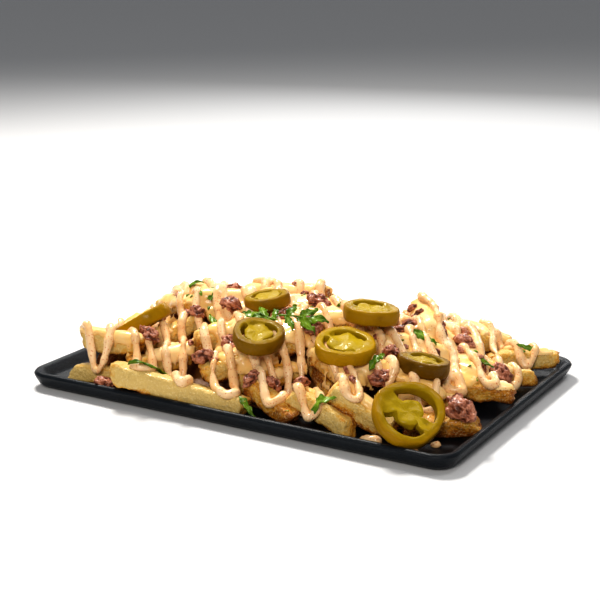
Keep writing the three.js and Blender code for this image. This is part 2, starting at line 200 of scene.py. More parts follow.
def fitsInTray(bar):
    reachX = abs(math.cos(math.radians(bar["yaw"]))) * (bar["length"] / 2) + 3
    reachY = abs(math.sin(math.radians(bar["yaw"]))) * (bar["length"] / 2) + 3
    inLength = abs(bar["x"] - heapPlan["middle"]) + reachX < heapPlan["halfLength"]
    return inLength and abs(bar["y"]) + reachY < heapPlan["halfWidth"]


def roomOver(bar):
    slope, middle = restOf(bar)
    dx, dy = math.cos(math.radians(bar["yaw"])), math.sin(math.radians(bar["yaw"]))
    rooms = []
    for share in (-0.45, 0, 0.45):
        s = share * bar["length"]
        top = middle + slope * s + bar["thickness"]
        rooms.append(heapHeight(bar["x"] + dx * s, bar["y"] + dy * s) - top)
    return min(rooms)


def layFries():
    draw = seededDraw(heapPlan["seed"])

    def shapeOf():
        return {
            "thickness": fryPlan["thickness"] * draw(0.88, 1.1),
            "roll": draw(-16, 16),
            "bow": draw(-1.6, 2.2),
            "slant": draw(-0.5, 0.5),
            "taper": draw(0, 0.25),
        }

    def listed(bars):
        return [layBar({**dict(zip(("x", "y", "yaw", "length"), bar)), **shapeOf()}) for bar in bars]

    fries = listed(edgeFries)
    for _ in range(heapPlan["count"]):
        best = None
        for _ in range(heapPlan["candidates"]):
            bar = {
                "x": heapPlan["middle"] + draw(-heapPlan["halfLength"], heapPlan["halfLength"]),
                "y": draw(-heapPlan["halfWidth"], heapPlan["halfWidth"]),
                "yaw": draw(-90, 90),
                "length": draw(fryPlan["shortest"], fryPlan["longest"]),
                "thickness": fryPlan["thickness"],
            }
            if not fitsInTray(bar):
                continue
            room = roomOver(bar)
            if best is None or room > best[0]:
                best = (room, bar)
        if best is None or best[0] < heapPlan["leastRoom"]:
            break
        fries.append(layBar({**best[1], **shapeOf()}))
    return fries + listed(crownFries)


fries = layFries()
print("fries laid:", len(fries))


# Mesh helpers

def meshFrom(bm, name):
    mesh = bpy.data.meshes.new(name)
    bm.to_mesh(mesh)
    bm.free()
    return mesh


def pieceFrom(bm, name, smooth=True):
    piece = bpy.data.objects.new(name, meshFrom(bm, name))
    bpy.context.scene.collection.objects.link(piece)
    if smooth:
        for face in piece.data.polygons:
            face.use_smooth = True
    return piece


def meshOf(piece):
    # the piece's mesh with its modifiers, or a curve's mesh
    bpy.context.view_layer.update()
    evaluated = piece.evaluated_get(bpy.context.evaluated_depsgraph_get())
    return bpy.data.meshes.new_from_object(evaluated)


def applied(piece):
    mesh = meshOf(piece)
    piece.modifiers.clear()
    piece.data = mesh
    return piece


def remeshed(piece, voxel, smoothing):
    voxels = piece.modifiers.new("voxels", "REMESH")
    voxels.mode = "VOXEL"
    voxels.voxel_size = voxel
    voxels.use_smooth_shade = True
    if smoothing:
        relax = piece.modifiers.new("relax", "SMOOTH")
        relax.factor = 0.5
        relax.iterations = smoothing
    return applied(piece)


def facing(direction):
    return Vector((0, 0, 1)).rotation_difference(Vector(direction).normalized()).to_matrix()


def bumps(point, size, depth=2):
    return noise.fractal(point / size, 0.6, 2.1, depth)


def treeOf(piece):
    bm = bmesh.new()
    bm.from_mesh(piece.data)
    tree = BVHTree.FromBMesh(bm)
    bm.free()
    return tree


# Fries

fryLook = {"edge": 1.7 * mm, "lengthStep": 2 * mm, "acrossCuts": 4, "crag": 0.52 * mm, "wave": 0.8 * mm}


def fryBar(fry, index):
    half = fry["thickness"] * mm / 2
    length = fry["length"] * mm
    bar = bmesh.new()
    bmesh.ops.create_cube(bar, size=1)
    bmesh.ops.scale(bar, vec=(length, half * 2, half * 2), verts=bar.verts)
    bmesh.ops.bevel(bar, geom=bar.edges[:], offset=fryLook["edge"], segments=2, profile=0.5,
                    affect="EDGES", material=-1)
    longEdges = [e for e in bar.edges if abs(e.verts[0].co.x - e.verts[1].co.x) > length * 0.5]
    bmesh.ops.subdivide_edges(bar, edges=longEdges, cuts=max(4, round(length / fryLook["lengthStep"])),
                              use_grid_fill=True)
    wideEdges = [e for e in bar.edges if e.calc_length() > half * 0.9]
    bmesh.ops.subdivide_edges(bar, edges=wideEdges, cuts=fryLook["acrossCuts"], use_grid_fill=True)
    turn = (
        Matrix.Rotation(math.radians(fry["yaw"]), 3, "Z")
        @ Matrix.Rotation(-math.atan(fry["slope"]), 3, "Y")
        @ Matrix.Rotation(math.radians(fry["roll"]), 3, "X")
    )
    place = Vector((fry["x"], fry["y"], fry["z"])) * mm
    seedShift = Vector((index * 0.37, index * 0.11, 0))
    for v in bar.verts:
        p = v.co.copy()
        away = Vector((0, p.y, p.z)).normalized()
        share = 2 * p.x / length
        endness = smoothStep(abs(share), 0.85, 1.0)
        narrow = 1 - fry["taper"] * max(0, share)
        p.x += fry["slant"] * p.z * share
        p.x += endness * bumps(p + seedShift, 4 * mm) * 1.6 * mm
        p.y *= narrow
        p.z = p.z * narrow + fry["bow"] * mm * (1 - share * share)
        p += away * bumps(p + seedShift, 9 * mm) * fryLook["wave"]
        p += away * (bumps(p + seedShift * 2, 1.8 * mm, 3)) * fryLook["crag"]
        v.co = turn @ p + place
    return bar


def toasting(fry, point, normal):
    # how browned a fry is at a point, along its edges and at its ends, with painted shade added: darker on faces that
    # look down and deep in the heap
    turn = (
        Matrix.Rotation(math.radians(fry["yaw"]), 3, "Z")
        @ Matrix.Rotation(-math.atan(fry["slope"]), 3, "Y")
        @ Matrix.Rotation(math.radians(fry["roll"]), 3, "X")
    )
    local = turn.transposed() @ (point - Vector((fry["x"], fry["y"], fry["z"])) * mm)
    half = fry["thickness"] * mm / 2
    edge = min(abs(local.y), abs(local.z)) / half
    end = abs(local.x) / (fry["length"] * mm / 2)
    # painted shade: faces that look down are made darker, as if in shade
    below = clamp(-normal.z * 1.2)
    # painted shade: points deep in the heap, between the fries, are made darker
    deep = smoothStep(heightAt(point.x / mm, point.y / mm) - point.z / mm, 4, 13)
    return smoothStep(edge, 0.55, 1.0) * 0.3 + smoothStep(end, 0.85, 1.0) * 0.35 + below * 0.4 + deep * 0.75


browner = {1: -0.12, 5: 0.5, 6: 0.4}  # how much more browned these fries are than most


def makeFries():
    heap = bmesh.new()
    toast = []
    draw = seededDraw(404)
    for index, fry in enumerate(fries):
        bar = fryBar(fry, index)
        bar.normal_update()
        browned = browner.get(index, draw(0.02, 0.52))
        for v in bar.verts:
            # each point's value holds real browning plus painted shade
            toast.append(toasting(fry, v.co, v.normal) + browned)
        mesh = meshFrom(bar, "bar")
        heap.from_mesh(mesh)
        bpy.data.meshes.remove(mesh)
    piece = pieceFrom(heap, "fries_cut")
    layer = piece.data.attributes.new("toast", "FLOAT", "POINT")
    layer.data.foreach_set("value", toast)
    return piece


# The mound inside the heap, which closes the gaps between the fries; its dark colour is painted shade seen through the
# gaps

moundLook = {"insetX": 31, "insetY": 25, "cuts": 44, "depth": 1, "crag": 1.4 * mm, "round": 5}


def blockOf(sizeX, sizeY, cuts):
    # a block with its top and underside cut into a fine grid
    block = bmesh.new()
    bmesh.ops.create_cube(block, size=1)
    bmesh.ops.scale(block, vec=(sizeX * mm, sizeY * mm, 1 * mm), verts=block.verts)
    flat = [e for e in block.edges if abs(e.verts[0].co.z - e.verts[1].co.z) < 0.5 * mm]
    bmesh.ops.subdivide_edges(block, edges=flat, cuts=cuts, use_grid_fill=True)
    return block


def makeMound():
    halfX = trayPlan["length"] / 2 - moundLook["insetX"]
    halfY = trayPlan["width"] / 2 - moundLook["insetY"]
    mound = blockOf(halfX * 2, halfY * 2, moundLook["cuts"])
    low = (trayPlan["baseThickness"] + 0.2) * mm
    for v in mound.verts:
        shareX, shareY = v.co.x / mm / halfX, v.co.y / mm / halfY
        square = max(abs(shareX), abs(shareY))
        round_ = (abs(shareX) ** moundLook["round"] + abs(shareY) ** moundLook["round"]) ** (1 / moundLook["round"])
        if round_:
            v.co.x *= square / round_
            v.co.y *= square / round_
        if v.co.z < 0:
            v.co.z = low
            continue
        x, y = v.co.x / mm, v.co.y / mm
        lowest = min(heightAt(x + dx, y + dy) for dx in (-5, 0, 5) for dy in (-5, 0, 5))
        top = (lowest - fryPlan["thickness"] * moundLook["depth"]) * mm
        v.co.z = max(low + 0.5 * mm, top + bumps(v.co, 6 * mm) * moundLook["crag"])
    return pieceFrom(mound, "heap_core")


# Cheese sauce that has run over the heap: a blanket that bridges the fries, and a skin on them
# that is thick in patches and sinks below their faces elsewhere

cheeseLook = {
    "voxel": 1 * mm,
    "thickest": 1.3 * mm,
    "sunk": -1.3 * mm,
    "patch": 22 * mm,
    "reachX": 222,
    "reachY": 154,
    "cuts": 118,
    "ceiling": 4,
    "bridge": 2,
    "rise": 0.8 * mm,
    "crumb": 60,
}


def dropOn(tree, x, y):
    return tree.ray_cast(Vector((x, y, 0.2)), Vector((0, 0, -1)))[0]


def spread(grid, reach, pick):
    # the highest, lowest or mean value within a reach along each row and column
    for _ in range(2):
        grid = [[pick(line[max(0, i - reach):i + reach + 1]) for i in range(len(line))] for line in grid]
        grid = [list(line) for line in zip(*grid)]
    return grid


def average(values):
    return sum(values) / len(values)


def gridSpot(x, y):
    # the column and row of the grid over the heap that a point falls in
    last = cheeseLook["cuts"] + 1
    column = round((x / mm / cheeseLook["reachX"] + 0.5) * last)
    row = round((y / mm / cheeseLook["reachY"] + 0.5) * last)
    return clamp(column, 0, last), clamp(row, 0, last)


def heightsOver(trees):
    last = cheeseLook["cuts"] + 1
    grid = []
    for column in range(last + 1):
        x = (column / last - 0.5) * cheeseLook["reachX"] * mm
        line = []
        for row in range(last + 1):
            y = (row / last - 0.5) * cheeseLook["reachY"] * mm
            hits = [dropOn(tree, x, y) for tree in trees]
            line.append(max((hit.z for hit in hits if hit), default=trayPlan["baseThickness"] * mm))
        grid.append(line)
    return grid


cheesePools = [(58, -16, 36, 0.85), (-100, -48, 16, 0.5), (2, -26, 24, 0.35), (100, 40, 24, 0.4)]  # x, y, radius, more


def patchiness(point):
    # where sauce has run: broad patches with ragged sides
    broad = bumps(point + Vector((0.31, 0.2, 0)), cheeseLook["patch"], 2)
    ragged = bumps(point + Vector((0.1, 0.5, 0.2)), 7 * mm, 2)
    amount = 0.5 + 1.0 * broad + 0.45 * ragged
    for x, y, radius, more in cheesePools:
        far = math.hypot(point.x / mm - x, point.y / mm - y) / radius
        amount += more * math.exp(-far * far)
    return amount


def cheeseAt(point, normal, ceiling):
    # none on the lowest fries, on the front row and deep in the gaps, most on faces that look up
    high = smoothStep(point.z / mm, 10, 19)
    behind = smoothStep(point.y / mm, -72, -54)
    upward = smoothStep(normal.z, -0.3, 0.5)
    column, row = gridSpot(point.x, point.y)
    outer = 1 - smoothStep((ceiling[column][row] - point.z) / mm, 2, 6)
    return clamp(high * behind * outer * (0.35 + 0.65 * upward) * (0.32 + patchiness(point)))


def makeBlanket(heights, ceiling):
    # sauce sags between the fries that it lies on, and runs off their sides
    blanket = blockOf(cheeseLook["reachX"], cheeseLook["reachY"], cheeseLook["cuts"])
    reach = cheeseLook["bridge"]
    sagging = spread(spread(spread(heights, reach, max), reach, min), 1, average)
    low = (trayPlan["baseThickness"] + 0.4) * mm
    halfX, halfY = cheeseLook["reachX"] / 2, cheeseLook["reachY"] / 2
    for v in blanket.verts:
        if v.co.z < 0:
            v.co.z = low
            continue
        column, row = gridSpot(v.co.x, v.co.y)
        spot = Vector((v.co.x, v.co.y, sagging[column][row]))
        amount = smoothStep(cheeseAt(spot, Vector((0, 0, 1)), ceiling), 0.35, 0.75)
        amount *= smoothStep(min(halfX - abs(v.co.x) / mm, halfY - abs(v.co.y) / mm), 1, 7)
        v.co.z = low + 0.5 * mm + (spot.z + cheeseLook["rise"] - low) * (1 - (1 - amount) ** 2)
    return pieceFrom(blanket, "blanket")


def crumbsOf(bm, fewest):
    # the vertices of loose parts that have fewer vertices than this
    left = set(bm.verts)
    crumbs = []
    while left:
        part = [left.pop()]
        for v in part:
            near = [edge.other_vert(v) for edge in v.link_edges]
            fresh = [other for other in near if other in left]
            left.difference_update(fresh)
            part.extend(fresh)
        if len(part) < fewest:
            crumbs.extend(part)
    return crumbs


def makeCheese(fryPiece, mound):
    heights = heightsOver([treeOf(fryPiece), treeOf(mound)])
    ceiling = spread(spread(heights, cheeseLook["ceiling"], max), cheeseLook["ceiling"], min)
    blanket = makeBlanket(heights, ceiling)
    skin = bmesh.new()
    for piece in (fryPiece, mound, blanket):
        skin.from_mesh(piece.data)
    bpy.data.objects.remove(blanket)
    coat = pieceFrom(skin, "cheese_coat")
    remeshed(coat, cheeseLook["voxel"], 6)
    mesh = coat.data
    moves = []
    amounts = []
    for v in mesh.vertices:
        amount = smoothStep(cheeseAt(v.co, v.normal, ceiling), 0.28, 0.6)
        moves.append(v.normal * (cheeseLook["sunk"] + (cheeseLook["thickest"] - cheeseLook["sunk"]) * amount))
        amounts.append(amount)
    for v, move in zip(mesh.vertices, moves):
        v.co += move
    # sauce thickness, which also carries painted shade: it is low deep in the gaps and on faces that look down
    mesh.attributes.new("thick", "FLOAT", "POINT").data.foreach_set("value", amounts)
    mesh.update()
    trimmed = bmesh.new()
    trimmed.from_mesh(mesh)
    bare = [v for v, amount in zip(trimmed.verts, amounts) if amount == 0 or v.co.z < 7 * mm]
    bmesh.ops.delete(trimmed, geom=bare, context="VERTS")
    bmesh.ops.delete(trimmed, geom=crumbsOf(trimmed, cheeseLook["crumb"]), context="VERTS")
    bmesh.ops.smooth_vert(trimmed, verts=trimmed.verts, factor=0.4, use_axis_x=True, use_axis_y=True,
                          use_axis_z=True)
    coat.data = meshFrom(trimmed, "cheese_coat")
    for face in coat.data.polygons:
        face.use_smooth = True
    return coat


# Thick lines of sauce, poured to and fro over the heap

drizzlePlan = {"pitch": 18, "angle": -48, "step": 10, "loop": 3.5, "open": 0.42, "seed": 911, "sway": 1.9,
               "short": 6, "lean": 7, "reachY": 75}
drizzleLook = {"radius": 2.25 * mm, "flat": 0.8, "sample": 1.1 * mm, "voxel": 0.92 * mm, "steepest": 1.5}
trayBlobs = [  # sauce that has dripped on the tray: x, y of each end, radius
    (69.4, -71.2, 80.2, -69.3, 3.0),
    (94, -74.5, 100.5, -72.5, 2.6),
    (100, -61, 104.5, -58, 2.0),
]


def takesSauce(x, y):
    inTray = (
        abs(x - heapPlan["middle"]) < heapPlan["halfLength"] - 5
        and abs(y) < heapPlan["halfWidth"] - 2
    )
    inBed = any(math.hypot(x - bx, y - by) < radius * 0.8 for bx, by, radius, _ in heapPlan["beds"])
    return inTray and not inBed and heightAt(x, y) > trayPlan["baseThickness"] + 5


def sauceRoutes():
    # narrow loops that open towards the back, side by side across the heap
    plan = drizzlePlan
    draw = seededDraw(plan["seed"])
    turn = math.radians(plan["angle"])
    along = Vector((math.cos(turn), math.sin(turn)))
    across = Vector((-along.y, along.x))
    reach = round(math.hypot(heapPlan["halfLength"], heapPlan["halfWidth"]))
    routes = []
    offsets = [-reach]
    while offsets[-1] < reach:
        offsets.append(offsets[-1] + plan["pitch"] * draw(0.85, 1.15))
    for offset in offsets:
        covered = [s for s in range(-reach, reach, 2) if takesSauce(*(along * s + across * offset))]
        if len(covered) < 6:
            continue
        front = covered[-1] + draw(-plan["short"], 2)
        count = max(3, round((front - covered[0]) / plan["step"]))
        legs = []
        lean = draw(-1, 1) * plan["lean"]
        for side in (-1, 1):
            leg = []
            for i in range(count + 1):
                share = i / count
                spread = plan["loop"] * (1 - share) + plan["pitch"] * plan["open"] * share
                s = front + (covered[0] - front) * share
                sway = draw(-1, 1) * plan["sway"] + lean * share
                spot = along * s + across * (offset + side * spread + sway)
                spot.y = clamp(spot.y, -plan["reachY"], plan["reachY"])
                leg.append(spot)
            legs.append(leg)
        tip = along * (front + plan["loop"]) + across * offset
        routes.append(legs[0][::-1] + [tip] + legs[1])
    return routes


def smoothPath(points, spacing):
    # a curve through the points, sampled evenly
    dense = []
    padded = [points[0] * 2 - points[1], *points, points[-1] * 2 - points[-2]]
    for i in range(1, len(padded) - 2):
        a, b, c, d = padded[i - 1:i + 3]
        for n in range(12):
            t = n / 12
            dense.append(0.5 * (2 * b + (c - a) * t + (2 * a - 5 * b + 4 * c - d) * t ** 2
                                + (3 * b - a - 3 * c + d) * t ** 3))
    dense.append(points[-1])
    even = [dense[0]]
    left = spacing
    for a, b in zip(dense, dense[1:]):
        length = (b - a).length
        while length >= left and length > 0:
            a = a + (b - a) * (left / length)
            even.append(a)
            length = (b - a).length
            left = spacing
        left -= length
    return even


def draped(path, trees):
    heights = []
    for p in path:
        hits = [dropOn(tree, p.x, p.y) for tree in trees]
        heights.append(max([trayFloor(p.x / mm, p.y / mm) * mm] + [hit.z for hit in hits if hit]))
    bridged = []
    for i in range(len(heights)):
        near = heights[max(0, i - 4):i + 5]
        bridged.append(max(heights[i], 0.55 * max(near) + 0.45 * average(near) - 1.5 * mm))
    steepest = drizzleLook["sample"] * drizzleLook["steepest"]
    for order in (range(1, len(bridged)), range(len(bridged) - 2, -1, -1)):
        for i in order:
            before = i - 1 if order.step > 0 else i + 1
            bridged[i] = max(bridged[i], bridged[before] - steepest)
    for _ in range(4):
        bridged = [
            (bridged[max(0, i - 1)] + 2 * bridged[i] + bridged[min(len(bridged) - 1, i + 1)]) / 4
            for i in range(len(bridged))
        ]
    return [Vector((p.x, p.y, z + drizzleLook["radius"] * 0.5)) for p, z in zip(path, bridged)]


def pour(curve, line, radius, seed):
    # one line of sauce, uneven in thickness, with rounded ends
    spline = curve.splines.new("POLY")
    spline.points.add(len(line) - 1)
    for i, (point, place) in enumerate(zip(spline.points, line)):
        endness = min(1, (min(i, len(line) - 1 - i) + 0.3) / 2.2)
        point.co = (*place, 1)
        point.radius = radius / drizzleLook["radius"] * math.sqrt(endness) * (
            1 + 0.5 * bumps(place + Vector((seed, 0, 0)), 6 * mm))


def makeDrizzle(trees):
    curve = bpy.data.curves.new("sauce_lines", "CURVE")
    curve.dimensions = "3D"
    curve.bevel_depth = drizzleLook["radius"]
    curve.bevel_resolution = 2
    curve.use_fill_caps = True
    for index, route in enumerate(sauceRoutes()):
        path = smoothPath([p * mm for p in route], drizzleLook["sample"])
        pour(curve, draped(path, trees), drizzleLook["radius"], index * 1.7)
    floor = trayPlan["baseThickness"] * mm
    for index, (x0, y0, x1, y1, radius) in enumerate(trayBlobs):
        ends = [Vector((x0, y0)) * mm, Vector((x1, y1)) * mm]
        path = [ends[0].lerp(ends[1], n / 6) for n in range(7)]
        blob = [Vector((p.x, p.y, floor + radius * 0.45 * mm)) for p in path]
        pour(curve, blob, radius * mm, index + 0.4)
    poured = bpy.data.objects.new("sauce_lines", curve)
    bpy.context.scene.collection.objects.link(poured)
    drizzle = bpy.data.objects.new("sauce_drizzle", meshOf(poured))
    bpy.context.scene.collection.objects.link(drizzle)
    bpy.data.objects.remove(poured)
    return remeshed(drizzle, drizzleLook["voxel"], 4)


# Toppings, each in the place of its own solid

def placedOn(node, bm, x, y):
    # moves a shape to a spot on the heap, with its lowest point at its solid's lowest point
    low = min(v.co.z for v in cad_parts[node].data.vertices)
    lift = low - min(v.co.z for v in bm.verts)
    bmesh.ops.translate(bm, vec=(x * mm, y * mm, lift), verts=bm.verts)


def rested(bm, trees, sunk, most, bend=0):
    # lowers a shape on to what lies under it, and bends its raised parts down by a share of their gap
    gaps = []
    for v in bm.verts:
        hits = [dropOn(tree, v.co.x, v.co.y) for tree in trees]
        gaps.append(v.co.z - max((hit.z for hit in hits if hit), default=trayPlan["baseThickness"] * mm))
    touching = sorted(gaps)[len(gaps) // 16]
    down = clamp(touching + sunk * mm, 0, most * mm)
    for v, gap in zip(bm.verts, gaps):
        v.co.z -= down + bend * clamp(gap - down - 1 * mm, 0, 5 * mm)


def gathered(shapes, name, layers):
    # one piece from several shapes, with its point values
    whole = bmesh.new()
    values = {layer: [] for layer in layers}
    for bm, shapeValues in shapes:
        mesh = meshFrom(bm, "shape")
        whole.from_mesh(mesh)
        bpy.data.meshes.remove(mesh)
        for layer in layers:
            values[layer].extend(shapeValues[layer])
    piece = pieceFrom(whole, name)
    for layer in layers:
        piece.data.attributes.new(layer, "FLOAT", "POINT").data.foreach_set("value", values[layer])
    return piece


# Slices of pickled pepper: a skin, a wall, and a pith that two bridges hold

pepperPlan = [  # x, y, the way the face looks, diameter, thickness, turn, yellow, pith
    (-77, -37, (-0.55, -0.05, 0.83), 30, 7.2, 20, 0.9, 0.55),
    (-18, -9, (-0.15, -0.05, 0.98), 24, 6.6, 75, 0.5, 0.55),
    (1, -48, (0.17, -0.14, 0.97), 26, 6.8, 140, 0.25, 0.58),
    (45, -40, (0.1, -0.2, 0.97), 28, 7, 10, 1, 0.6),
    (44, -12, (0.05, 0.05, 0.99), 27, 7, 50, 0.8, 0.6),
    (80, -26, (0.12, 0.15, 0.98), 25, 7.2, 220, 0, 0.55),
    (91, -65, (0.5, -0.4, 0.77), 33, 6, 200, 0.75, 0.4),
]
pepperLook = {
    "wall": 3.6,
    "steps": 90,
    "rings": (0.35, 0.7, 1),
    "gaps": ((6, 34), (43, 80)),  # first and last step of each opening
    "bridgeCuts": 4,
    "wallCuts": 5,
    "sideCuts": 5,
    "sunk": 0.8,
    "bulge": 0.5,
    "relief": 0.2,
    "ragged": 1.2,
}


def pepperRings(radius, pithShare):
    look = pepperLook
    pith = radius * pithShare
    inner = radius - look["wall"]
    rings = [0] + [pith * share for share in look["rings"]]
    rings += [pith + (inner - pith) * n / look["bridgeCuts"] for n in range(1, look["bridgeCuts"] + 1)]
    rings += [inner + look["wall"] * n / look["wallCuts"] for n in range(1, look["wallCuts"] + 1)]
    return rings, pith, inner


def pepperSlice(index, diameter, thickness, turnDegrees, pithShare):
    look = pepperLook
    radius = diameter / 2
    rings, pith, inner = pepperRings(radius, pithShare)
    disc = bmesh.new()
    line = [disc.verts.new((ring * mm, 0, 0)) for ring in rings]
    edges = [disc.edges.new(pair) for pair in zip(line, line[1:])]
    bmesh.ops.spin(disc, geom=line + edges, cent=(0, 0, 0), axis=(0, 0, 1), angle=2 * math.pi,
                   steps=look["steps"], use_merge=True)
    bmesh.ops.remove_doubles(disc, verts=disc.verts, dist=1e-6)
    openings = []
    for face in disc.faces:
        middle = face.calc_center_median()
        step = math.degrees(math.atan2(middle.y, middle.x)) % 360 / 360 * look["steps"]
        between = pith < middle.length / mm < inner
        if between and any(first < step < last for first, last in look["gaps"]):
            openings.append(face)
    bmesh.ops.delete(disc, geom=openings, context="FACES")
    grown = bmesh.ops.extrude_face_region(disc, geom=disc.faces[:], use_keep_orig=True)
    raised = [v for v in grown["geom"] if isinstance(v, bmesh.types.BMVert)]
    bmesh.ops.translate(disc, vec=(0, 0, thickness * mm), verts=raised)
    sides = [e for e in disc.edges if abs(e.verts[0].co.z - e.verts[1].co.z) > thickness * mm / 2]
    bmesh.ops.subdivide_edges(disc, edges=sides, cuts=look["sideCuts"], use_grid_fill=True)
    bmesh.ops.recalc_face_normals(disc, faces=disc.faces)
    bmesh.ops.smooth_vert(disc, verts=disc.verts, factor=0.5, use_axis_x=True, use_axis_y=True, use_axis_z=True)
    turn = math.radians(turnDegrees)
    values = {"depth": []}
    seed = Vector((index * 0.21, 0, index * 0.13))
    for v in disc.verts:
        flat = math.hypot(v.co.x, v.co.y) / mm
        depth = clamp((radius - flat) / look["wall"])
        upper = (v.co.z / mm - thickness / 2) / (thickness / 2)
        values["depth"].append(clamp((radius - flat) / radius))
        angle = math.atan2(v.co.y, v.co.x) + turn
        uneven = 1 + 0.05 * math.cos(2 * angle + turn) + 0.035 * math.cos(3 * angle - turn)
        spot = v.co + seed
        side = look["bulge"] * (1 - upper * upper) * (1 - depth) + 0.35 * bumps(spot, 7 * mm)
        inside = smoothStep(flat, inner + 0.4, inner - 1.6)
        height = upper * (thickness / 2 - look["sunk"] * inside * smoothStep(abs(upper), 0.3, 1))
        height += look["relief"] * bumps(spot, 1.6 * mm, 3) * smoothStep(abs(upper), 0.5, 1)
        height += 0.5 * inside * bumps(spot, 5 * mm, 1) + 0.4 * bumps(spot, 11 * mm)
        reach = (flat + side) * uneven
        v.co = Vector((reach * math.cos(angle), reach * math.sin(angle), height)) * mm
        torn = Vector([noise.noise(spot / (5 * mm) + Vector((n * 7, 0, 0))) for n in range(3)])
        v.co += torn * look["ragged"] * inside * mm
    return disc, values


def makePeppers(trees):
    shapes = []
    for index, (x, y, face, diameter, thickness, turn, yellow, pithShare) in enumerate(pepperPlan):
        disc, values = pepperSlice(index, diameter, thickness, turn, pithShare)
        values["yellow"] = [yellow] * len(disc.verts)
        bmesh.ops.rotate(disc, cent=(0, 0, 0), matrix=facing(face), verts=disc.verts)
        placedOn("jalapeno_" + str(index + 1), disc, x, y)
        rested(disc, trees, 0, 1.2)
        shapes.append((disc, values))
    return gathered(shapes, "jalapeno_slices", ("depth", "yellow"))


# Browned meat, torn along its fibres: the large pieces follow their solids, and small bits lie between

meatPlan = {"count": 22, "bits": 70, "seed": 5501}
meatLook = {"cuts": 4, "lump": 1.1 * mm, "fibre": 0.5 * mm, "tear": 0.9 * mm}


def fibrous(bm, middle, yaw, seed, size):
    # lumps, and ridges that run along the piece
    turn = Matrix.Rotation(-yaw, 3, "Z")
    bm.normal_update()
    moves = []
    tint = []
    for v in bm.verts:
        local = turn @ (v.co - middle) + Vector((seed, seed * 0.7, 0))
        ridge = 1 - 2 * abs(bumps(Vector((local.x * 0.35, local.y, local.z)), 1.9 * mm, 3))
        lump = bumps(local, 4.2 * mm, 2)
        tear = smoothStep(bumps(local + Vector((0, 0.3, 0)), 2.8 * mm, 2), 0.12, 0.4)
        moves.append(v.normal * size * (
            lump * meatLook["lump"] + (ridge - 0.6) * meatLook["fibre"] - tear * meatLook["tear"]))
        # the meat's own streaks along its fibres, with painted shade: darker in the torn hollows and grooves, lighter
        # on raised ridges
        tint.append(clamp(0.5 + 0.5 * ridge - tear))
    for v, move in zip(bm.verts, moves):
        v.co += move
    return {"ridge": tint}


def makeMeat(trees):
    shapes = []
    for index in range(meatPlan["count"]):
        lump = bmesh.new()
        lump.from_mesh(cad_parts["meat_" + str(index + 1)].data)
        bmesh.ops.remove_doubles(lump, verts=lump.verts, dist=1e-6)
        bmesh.ops.subdivide_edges(lump, edges=lump.edges[:], cuts=meatLook["cuts"], use_grid_fill=True)
        bmesh.ops.smooth_vert(lump, verts=lump.verts, factor=0.5, use_axis_x=True, use_axis_y=True,
                              use_axis_z=True)
        middle = sum((v.co for v in lump.verts), Vector()) / len(lump.verts)
        far = max(lump.verts, key=lambda v: (v.co - middle).xy.length).co - middle
        values = fibrous(lump, middle, math.atan2(far.y, far.x), index * 0.17, 1)
        rested(lump, trees, 0.8, 3)
        shapes.append((lump, values))
    return gathered(shapes, "meat_pieces", ("ridge",))


def makeMeatBits(trees):
    draw = seededDraw(meatPlan["seed"])
    shapes = []
    while len(shapes) < meatPlan["bits"]:
        x = heapPlan["middle"] + draw(-0.94, 0.94) * heapPlan["halfLength"]
        y = draw(-0.94, 0.94) * heapPlan["halfWidth"]
        length, yaw, squash = draw(3.5, 8.5), draw(-3.1, 3.1), draw(0.5, 0.8)
        hits = [tree.ray_cast(Vector((x, y, 200)) * mm, Vector((0, 0, -1))) for tree in trees]
        hit = max((h for h in hits if h[0]), key=lambda h: h[0].z, default=None)
        if hit is None or hit[0].z < 12 * mm or hit[1].z < 0.3:
            continue
        bit = bmesh.new()
        bmesh.ops.create_icosphere(bit, subdivisions=4, radius=0.5 * mm)
        bmesh.ops.scale(bit, vec=(length, length * squash, length * squash * 0.8), verts=bit.verts)
        values = fibrous(bit, Vector(), 0, len(shapes) * 0.23, clamp(length / 9, 0.4, 0.9))
        turn = facing(hit[1]) @ Matrix.Rotation(yaw, 3, "Z")
        bmesh.ops.rotate(bit, cent=(0, 0, 0), matrix=turn, verts=bit.verts)
        bmesh.ops.translate(bit, vec=hit[0] + hit[1] * length * squash * 0.1 * mm, verts=bit.verts)
        shapes.append((bit, values))
    return gathered(shapes, "meat_bits", ("ridge",))


# Herb leaves: two sprigs with leaflets on a stem, lobed leaves and curled shreds

leafPlan = [  # x, y, length, width, yaw, curl
    (-6, -30, 25, 10, 170, 5),
    (17, -36, 25, 10, 25, 4),
    (19, 3, 14, 8, -60, 2),
    (-47, -72, 25, 5, 62, 3),
    (-82, 15, 15, 4.5, 20, 3),
    (-40, -26, 13, 3.4, -40, 2),
    (50, -72, 14, 7, 30, 2),
    (11, -74, 14, 3.2, -20, 3),
    (63, -42, 11, 4.5, 75, 2),
    (68, -1, 15, 5.5, -10, 2),
    (-46, -12, 11, 5, 40, 2),
    (94, 5, 17, 6, 20, 2),
    (100, 57, 10, 3.6, 25, 1),
]
leafLook = {"along": 30, "across": 10, "thickness": 0.34 * mm}
sprigLeaflets = [  # place along the leaf, sideways, turn, length, width
    (0.14, 0, 4, 0.5, 0.52),
    (0.02, 0.2, 38, 0.46, 0.46),
    (0.0, -0.2, -36, 0.47, 0.48),
    (-0.22, 0.15, 64, 0.34, 0.42),
    (-0.24, -0.15, -60, 0.36, 0.42),
]


